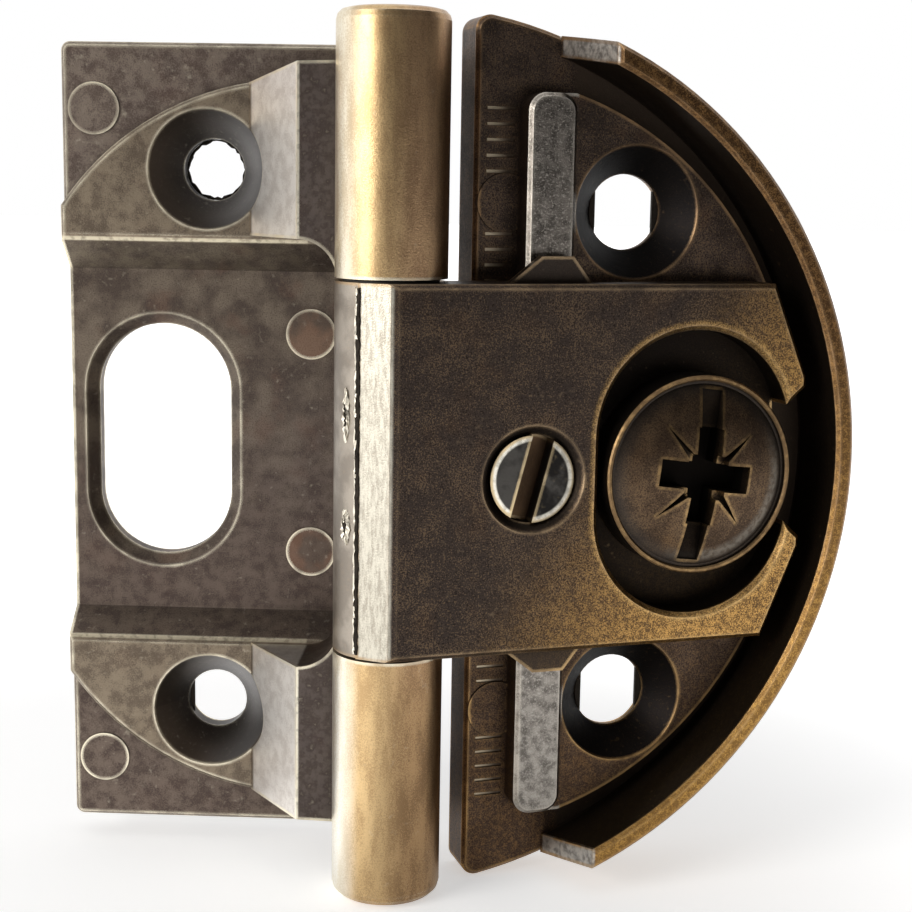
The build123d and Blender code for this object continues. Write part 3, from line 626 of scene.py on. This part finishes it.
# Clamp screw: a turned steel screw with a domed head, a thin ring, a slot and a cross recess.
# It is plated to match and polished by handling, with bright edges round the recess.
clamp = CastSkin(
    "clamp_screw_finish",
    dark=(0.070, 0.046, 0.031),
    mid=(0.118, 0.078, 0.050),
    warm=(0.130, 0.076, 0.040),
    gold=(0.25, 0.16, 0.08),
    speckle=0.4,
)
clamp_x, clamp_v = door_offsets(clamp)
clamp_along = (joint_spot("clamp_turn") - pin_spot).dot(door_across)
dome_edge, dome_foot, head_back = 6.05, 4.5, 1.95
from_axis = clamp.shade.reach(clamp_x - clamp_along, clamp.z - screw_z)
clamp.lay(from_axis.rise(dome_edge - 1.25, dome_edge + 0.05) * 0.7, (0.050, 0.045, 0.041), rough=0.36)
lit_arc = (clamp_x - clamp_along - (clamp.z - screw_z)).rise(1.0, 6.5)
lit_arc = lit_arc * from_axis.within(dome_edge - 0.95, dome_edge - 0.3, 0.3)
arc_tone = clamp.fleck.rise(0.35, 0.6).tint((0.13, 0.110, 0.088), (0.27, 0.245, 0.205))
clamp.lay(lit_arc * 0.5, arc_tone, rough=0.34)
head_ring = from_axis.rise(dome_edge + 0.1, dome_edge + 0.25)
head_ring = head_ring * clamp_v.rise(dome_foot - 0.1, dome_foot + 0.1)
clamp.lay(head_ring * 0.9, (0.13, 0.080, 0.043), rough=0.36)
# Below the dome's foot, down in the arm's recess, the head is painted near black, as painted shade.
recess = clamp_v.rise(dome_foot + 0.1, dome_foot - 0.1) * clamp_v.rise(head_back + 0.25, head_back + 0.65)
recess = recess * from_axis.rise(dome_edge - 0.05, dome_edge - 0.35)
clamp.lay(recess, (0.010, 0.008, 0.007), rough=0.6)
clamp.edge = clamp.edge * (1 - recess) * (0.35 + clamp.fleck.rise(0.45, 0.65) * 0.45)
clamp.close(worn=(0.44, 0.285, 0.125), soot=(0.012, 0.010, 0.008), depth=0.000012)
finish_node("clamp_screw", clamp.material)

# Adjusting screw: a headless slotted steel screw through the arm, dark and polished.
# Its rim and the slot's edges are bright from the screwdriver, with a painted highlight brightest on the
# left.
adjuster = CastSkin(
    "adjusting_screw_finish",
    dark=(0.07, 0.062, 0.055),
    mid=(0.12, 0.108, 0.095),
    warm=(0.12, 0.09, 0.065),
    gold=(0.24, 0.21, 0.17),
    speckle=0.15,
)
adjuster_x, adjuster_v = door_offsets(adjuster)
adjuster_radius, adjuster_face, slot_floor_v = 2.85, 3.9, 2.7
slot_floor = adjuster_v.rise(slot_floor_v + 0.5, slot_floor_v + 0.3)
face_tone = adjuster.blotch.rise(0.4, 0.6).tint((0.014, 0.013, 0.012), (0.060, 0.056, 0.051))
adjuster.lay(1 - slot_floor, face_tone, rough=0.24)
from_adjuster = adjuster.shade.reach(adjuster_x - adjuster_along, adjuster.z - screw_z)
ring = from_adjuster.within(adjuster_radius - 0.37, adjuster_radius - 0.1, 0.08)
ring = ring * adjuster_v.rise(adjuster_face - 0.2, adjuster_face - 0.1)
# The rim and the edges carry a painted highlight, brightest on the left side.
lit_side = (adjuster_x - adjuster_along).rise(0.8, -2.0) * 0.5 + 0.5
ring_wear = 0.65 + adjuster.fleck.rise(0.42, 0.60) * 0.35
adjuster.lay(ring * lit_side * ring_wear, (0.95, 0.90, 0.78), rough=0.28)
adjuster.lay(slot_floor, (0.20, 0.120, 0.068), rough=0.45)
adjuster.edge = adjuster.edge * lit_side
adjuster.close(worn=(0.80, 0.62, 0.36), soot=(0.014, 0.012, 0.010), depth=0.000006)
finish_node("adjusting_screw", adjuster.material)

# Stage: a white floor under the hinge, and a white room round it with one dim corner.
# The floor is paler in reflections on the left, as beside a window, and keeps the shadow.
floor_gap = 0.0001
bpy.ops.mesh.primitive_plane_add(size=4.0, location=(0.0, 0.0, solids_box[0].z - floor_gap))
floor = bpy.context.object
floor.name = "floor"
floor_paint = bpy.data.materials.new("floor_paint")
floor_paint.use_nodes = True
floor_skin = floor_paint.node_tree.nodes["Principled BSDF"]
floor_skin.inputs["Base Color"].default_value = (0.92, 0.92, 0.92, 1.0)
floor_skin.inputs["Roughness"].default_value = 0.9


def backdrop_rays(shade, seen, thrown):
    """One value to the camera's own rays, another to those that a surface threw."""
    kinds = ("Is Camera Ray", "Is Glossy Ray", "Is Transmission Ray")
    direct, glossy, through = (shade.node("LightPath", {}, {}, kind) for kind in kinds)
    return shade.math("MAXIMUM", direct * seen, shade.math("MAXIMUM", glossy, through) * thrown)


black, white = (0.0, 0.0, 0.0), (1.0, 1.0, 1.0)
floor_shade = Shade(floor_paint.node_tree)
floor_place = floor_shade.node("TexCoord", {}, {}, "Object")
floor_left = floor_shade.node("SeparateXYZ", {}, {0: floor_place}, 0).rise(0.012, -0.006)
floor_reach = floor_shade.node("VectorMath", {"operation": "LENGTH"}, {0: floor_place}, "Value")
floor_away = floor_reach.rise(0.03, 0.10)
floor_thrown = 0.32 + floor_shade.math("MAXIMUM", floor_left, floor_away) * 0.68
floor_glow = backdrop_rays(floor_shade, 0.5 + floor_away * 0.5, floor_thrown).tint(black, white)
floor_skin.inputs["Emission Strength"].default_value = 1.0
floor_paint.node_tree.links.new(floor_glow.socket, floor_skin.inputs["Emission Color"])
floor.data.materials.append(floor_paint)

world = bpy.data.worlds.new("studio")
bpy.context.scene.world = world
world.use_nodes = True
sky = Shade(world.node_tree)
sky_end = world.node_tree.nodes["Background"]
sky_end.inputs["Color"].default_value = (*white, 1.0)
sky_strength = backdrop_rays(sky, 1.0, 1.0) * 0.55 + 0.45
world.node_tree.links.new(sky_strength.socket, sky_end.inputs["Strength"])

# Grey screen: stands in front and round to the right, out of every view, as the dim corner.
# Faces turned that way reflect it, and faces turned left reflect the light.
screen_width, screen_height, screen_depth = 0.60, 0.90, 0.42
bpy.ops.mesh.primitive_plane_add(size=1.0)
screen = bpy.context.object
screen.name = "grey_screen"
bpy.ops.object.mode_set(mode="EDIT")
bpy.ops.mesh.select_all(action="DESELECT")
bpy.ops.object.mode_set(mode="OBJECT")
for corner in screen.data.vertices:
    corner.select = corner.co.x > 0.0
bpy.ops.object.mode_set(mode="EDIT")
bpy.ops.mesh.select_mode(type="EDGE")
bpy.ops.mesh.extrude_region_move(TRANSFORM_OT_translate={"value": (0.0, 0.0, -1.0)})
bpy.ops.mesh.select_all(action="SELECT")
bpy.ops.transform.resize(value=(screen_width, screen_height, screen_depth), center_override=(0.0, 0.0, 0.0))
bpy.ops.mesh.select_mode(type="VERT")
bpy.ops.object.mode_set(mode="OBJECT")
seat(screen, Vector((100.0, -300.0, 0.0)), east, north)
screen.visible_camera = False
screen.visible_shadow = False
screen_paint = bpy.data.materials.new("screen_paint")
screen_paint.use_nodes = True
screen_skin = screen_paint.node_tree.nodes["Principled BSDF"]
screen_skin.inputs["Base Color"].default_value = (0.12, 0.115, 0.11, 1.0)
screen_skin.inputs["Roughness"].default_value = 1.0
screen.data.materials.append(screen_paint)
bpy.ops.object.select_all(action="DESELECT")

# Lamp and camera: one soft lamp high on the left, and the camera where the photograph was
# taken from, a little above the middle and to the right of the barrel.
lamp = bpy.data.lights.new("key", "AREA")
lamp.energy = 1.1
lamp.size = 0.24
lamp.color = (1.0, 0.98, 0.95)
stand = bpy.data.objects.new("key", lamp)
stand.location = (-0.34, -0.30, 0.14)
hinge_middle = Vector((0.016, -0.008, 0.0))
stand.rotation_euler = (hinge_middle - stand.location).to_track_quat("-Z", "Y").to_euler()
bpy.context.collection.objects.link(stand)

camera = bpy.data.cameras.new("camera")
camera.sensor_width = 36.0
camera.lens = 65.41
camera.clip_start = 0.005
viewpoint = bpy.data.objects.new("camera", camera)
bpy.context.collection.objects.link(viewpoint)
eye = Vector((0.0212206, -0.1162712, 0.0179616))
across, upward = Vector((0.99907, 0.03969, 0.01690)), Vector((-0.02303, 0.15948, 0.98693))
axes = Matrix((across, upward, across.cross(upward))).transposed()
viewpoint.matrix_world = Matrix.Translation(eye) @ axes.to_4x4()
bpy.context.scene.camera = viewpoint
bpy.context.scene.view_settings.view_transform = "Standard"
